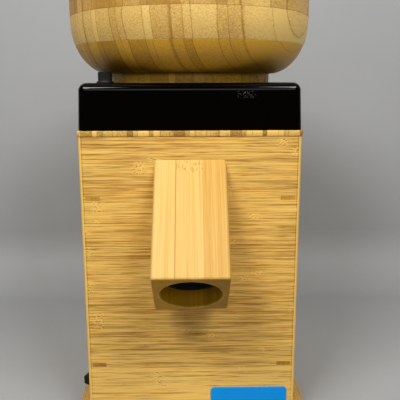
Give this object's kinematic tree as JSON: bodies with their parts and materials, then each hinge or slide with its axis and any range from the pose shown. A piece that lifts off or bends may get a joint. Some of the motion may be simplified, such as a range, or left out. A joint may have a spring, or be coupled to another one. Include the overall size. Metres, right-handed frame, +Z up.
{
  "type": "grain mill",
  "caption": "Domestic stone grain mill: square bamboo cabinet, gloss black cap, turned bamboo hopper that screws to set the stones, slanted spout in front.",
  "frame": {"origin": "on the table under the middle of the outline, measured from the spout tip to the back of the hopper; the hopper axis is 26.96 mm behind it", "axes": "+X to the right seen from the front, +Y to the back, +Z up along the hopper axis"},
  "size_m": [0.2106, 0.2646, 0.3886],
  "materials": {
    "bamboo_panel": "lacquered laminated bamboo, horizontal strips",
    "bamboo_side": "lacquered laminated bamboo",
    "bamboo_deck": "lacquered laminated bamboo, end grain on the front edge",
    "bamboo_bowl": "turned caramel bamboo, lacquered",
    "bamboo_neck": "turned caramel bamboo, lacquered",
    "bamboo_spout": "pale laminated bamboo, upright strips",
    "dark_bamboo": "dark carbonised bamboo",
    "board": "plain inner board",
    "cap_plastic": "high gloss black",
    "black_plastic": "fine matte black",
    "chamber_plastic": "moulded dark grey",
    "badge_blue": "plain glossy blue",
    "foot_rubber": "soft black",
    "felt": "pressed felt",
    "stone_white": "cast corundum and ceramic grit",
    "screw_steel": "zinc plated",
    "spring_steel": "drawn spring wire",
    "plate_aluminium": "turned",
    "bell_aluminium": "die cast",
    "shaft_steel": "ground",
    "core_steel": "stacked laminations",
    "copper_wire": "varnished copper wire",
    "capacitor_can": "drawn can",
    "terminal_plastic": "pale moulded"
  },
  "bodies": {
    "housing": {"front_panel": "bamboo_panel", "back_panel": "bamboo_panel", "left_panel": "bamboo_side", "right_panel": "bamboo_side", "top_deck": "bamboo_deck", "bottom_board": "board", "shelf_board": "dark_bamboo", "left_foot_rail": "dark_bamboo", "right_foot_rail": "dark_bamboo", "rubber_feet": "foot_rubber", "foot_screws": "screw_steel", "corner_blocks": "board", "deck_screws": "screw_steel", "spout": "bamboo_spout", "chute": "chamber_plastic", "badge_plate": "badge_blue", "cap": "cap_plastic", "cap_screws": "screw_steel", "button_bush": "black_plastic", "button_spring": "spring_steel", "milling_chamber": "chamber_plastic", "chamber_screws": "screw_steel", "shaft_seal": "felt", "guide_pins": "shaft_steel", "lift_springs": "spring_steel", "stator": "core_steel", "windings": "copper_wire", "upper_end_bell": "bell_aluminium", "lower_end_bell": "bell_aluminium", "upper_bearing": "shaft_steel", "lower_bearing": "shaft_steel", "through_bolts": "screw_steel", "motor_standoffs": "screw_steel", "motor_screws": "screw_steel", "run_capacitor": "capacitor_can", "capacitor_clip": "screw_steel", "terminal_block": "terminal_plastic", "switch_body": "black_plastic", "cord_gland": "black_plastic"},
    "stone_lift": {"upper_stone_carrier": "plate_aluminium", "upper_stone": "stone_white", "carrier_screws": "screw_steel"},
    "hopper": {"hopper_layer_lower": "bamboo_bowl", "hopper_layer_middle": "bamboo_bowl", "hopper_layer_upper": "bamboo_bowl", "hopper_neck": "bamboo_neck", "thread_ring": "black_plastic", "neck_screws": "screw_steel", "stop_peg": "shaft_steel"},
    "lid": {"lid": "bamboo_panel", "lid_knob": "black_plastic", "lid_screw": "screw_steel"},
    "rotor": {"motor_shaft": "shaft_steel", "rotor_core": "core_steel", "cooling_fan": "black_plastic", "stone_carrier": "plate_aluminium", "lower_stone": "stone_white", "stone_nut": "screw_steel"},
    "button": {"stop_button": "black_plastic"},
    "rocker": {"power_rocker": "black_plastic"}
  },
  "joints": [
    {"name": "stone_gap", "type": "slide", "parent": "housing", "child": "stone_lift", "axis": [0, 0, 1], "range_m": [-0.00096, 0.00102]},
    {"name": "hopper_turn", "type": "hinge", "parent": "stone_lift", "child": "hopper", "pos_m": [0, 0.02696, 0.2868], "axis": [0, 0, 1], "range_deg": [-114.6, 120]},
    {"name": "lid_lift", "type": "slide", "parent": "hopper", "child": "lid", "axis": [0, 0, 1], "range_m": [0, 0.06]},
    {"name": "stop_press", "type": "slide", "parent": "housing", "child": "button", "axis": [0, 0, -1], "range_m": [0, 0.004], "stiffness_N_per_m": 400, "springref_m": -0.002},
    {"name": "power_switch", "type": "hinge", "parent": "housing", "child": "rocker", "pos_m": [-0.0882, -0.03504, 0.029], "axis": [0, 0, 1], "range_deg": [-18, 0]},
    {"name": "rotor_spin", "type": "hinge", "parent": "housing", "child": "rotor", "pos_m": [0, 0.02696, 0.15], "axis": [0, 0, 1], "continuous": true}
  ],
  "couplings": [
    {"joint": "stone_gap", "follows": "hopper_turn", "m_per_rad": 0.00047746}
  ]
}
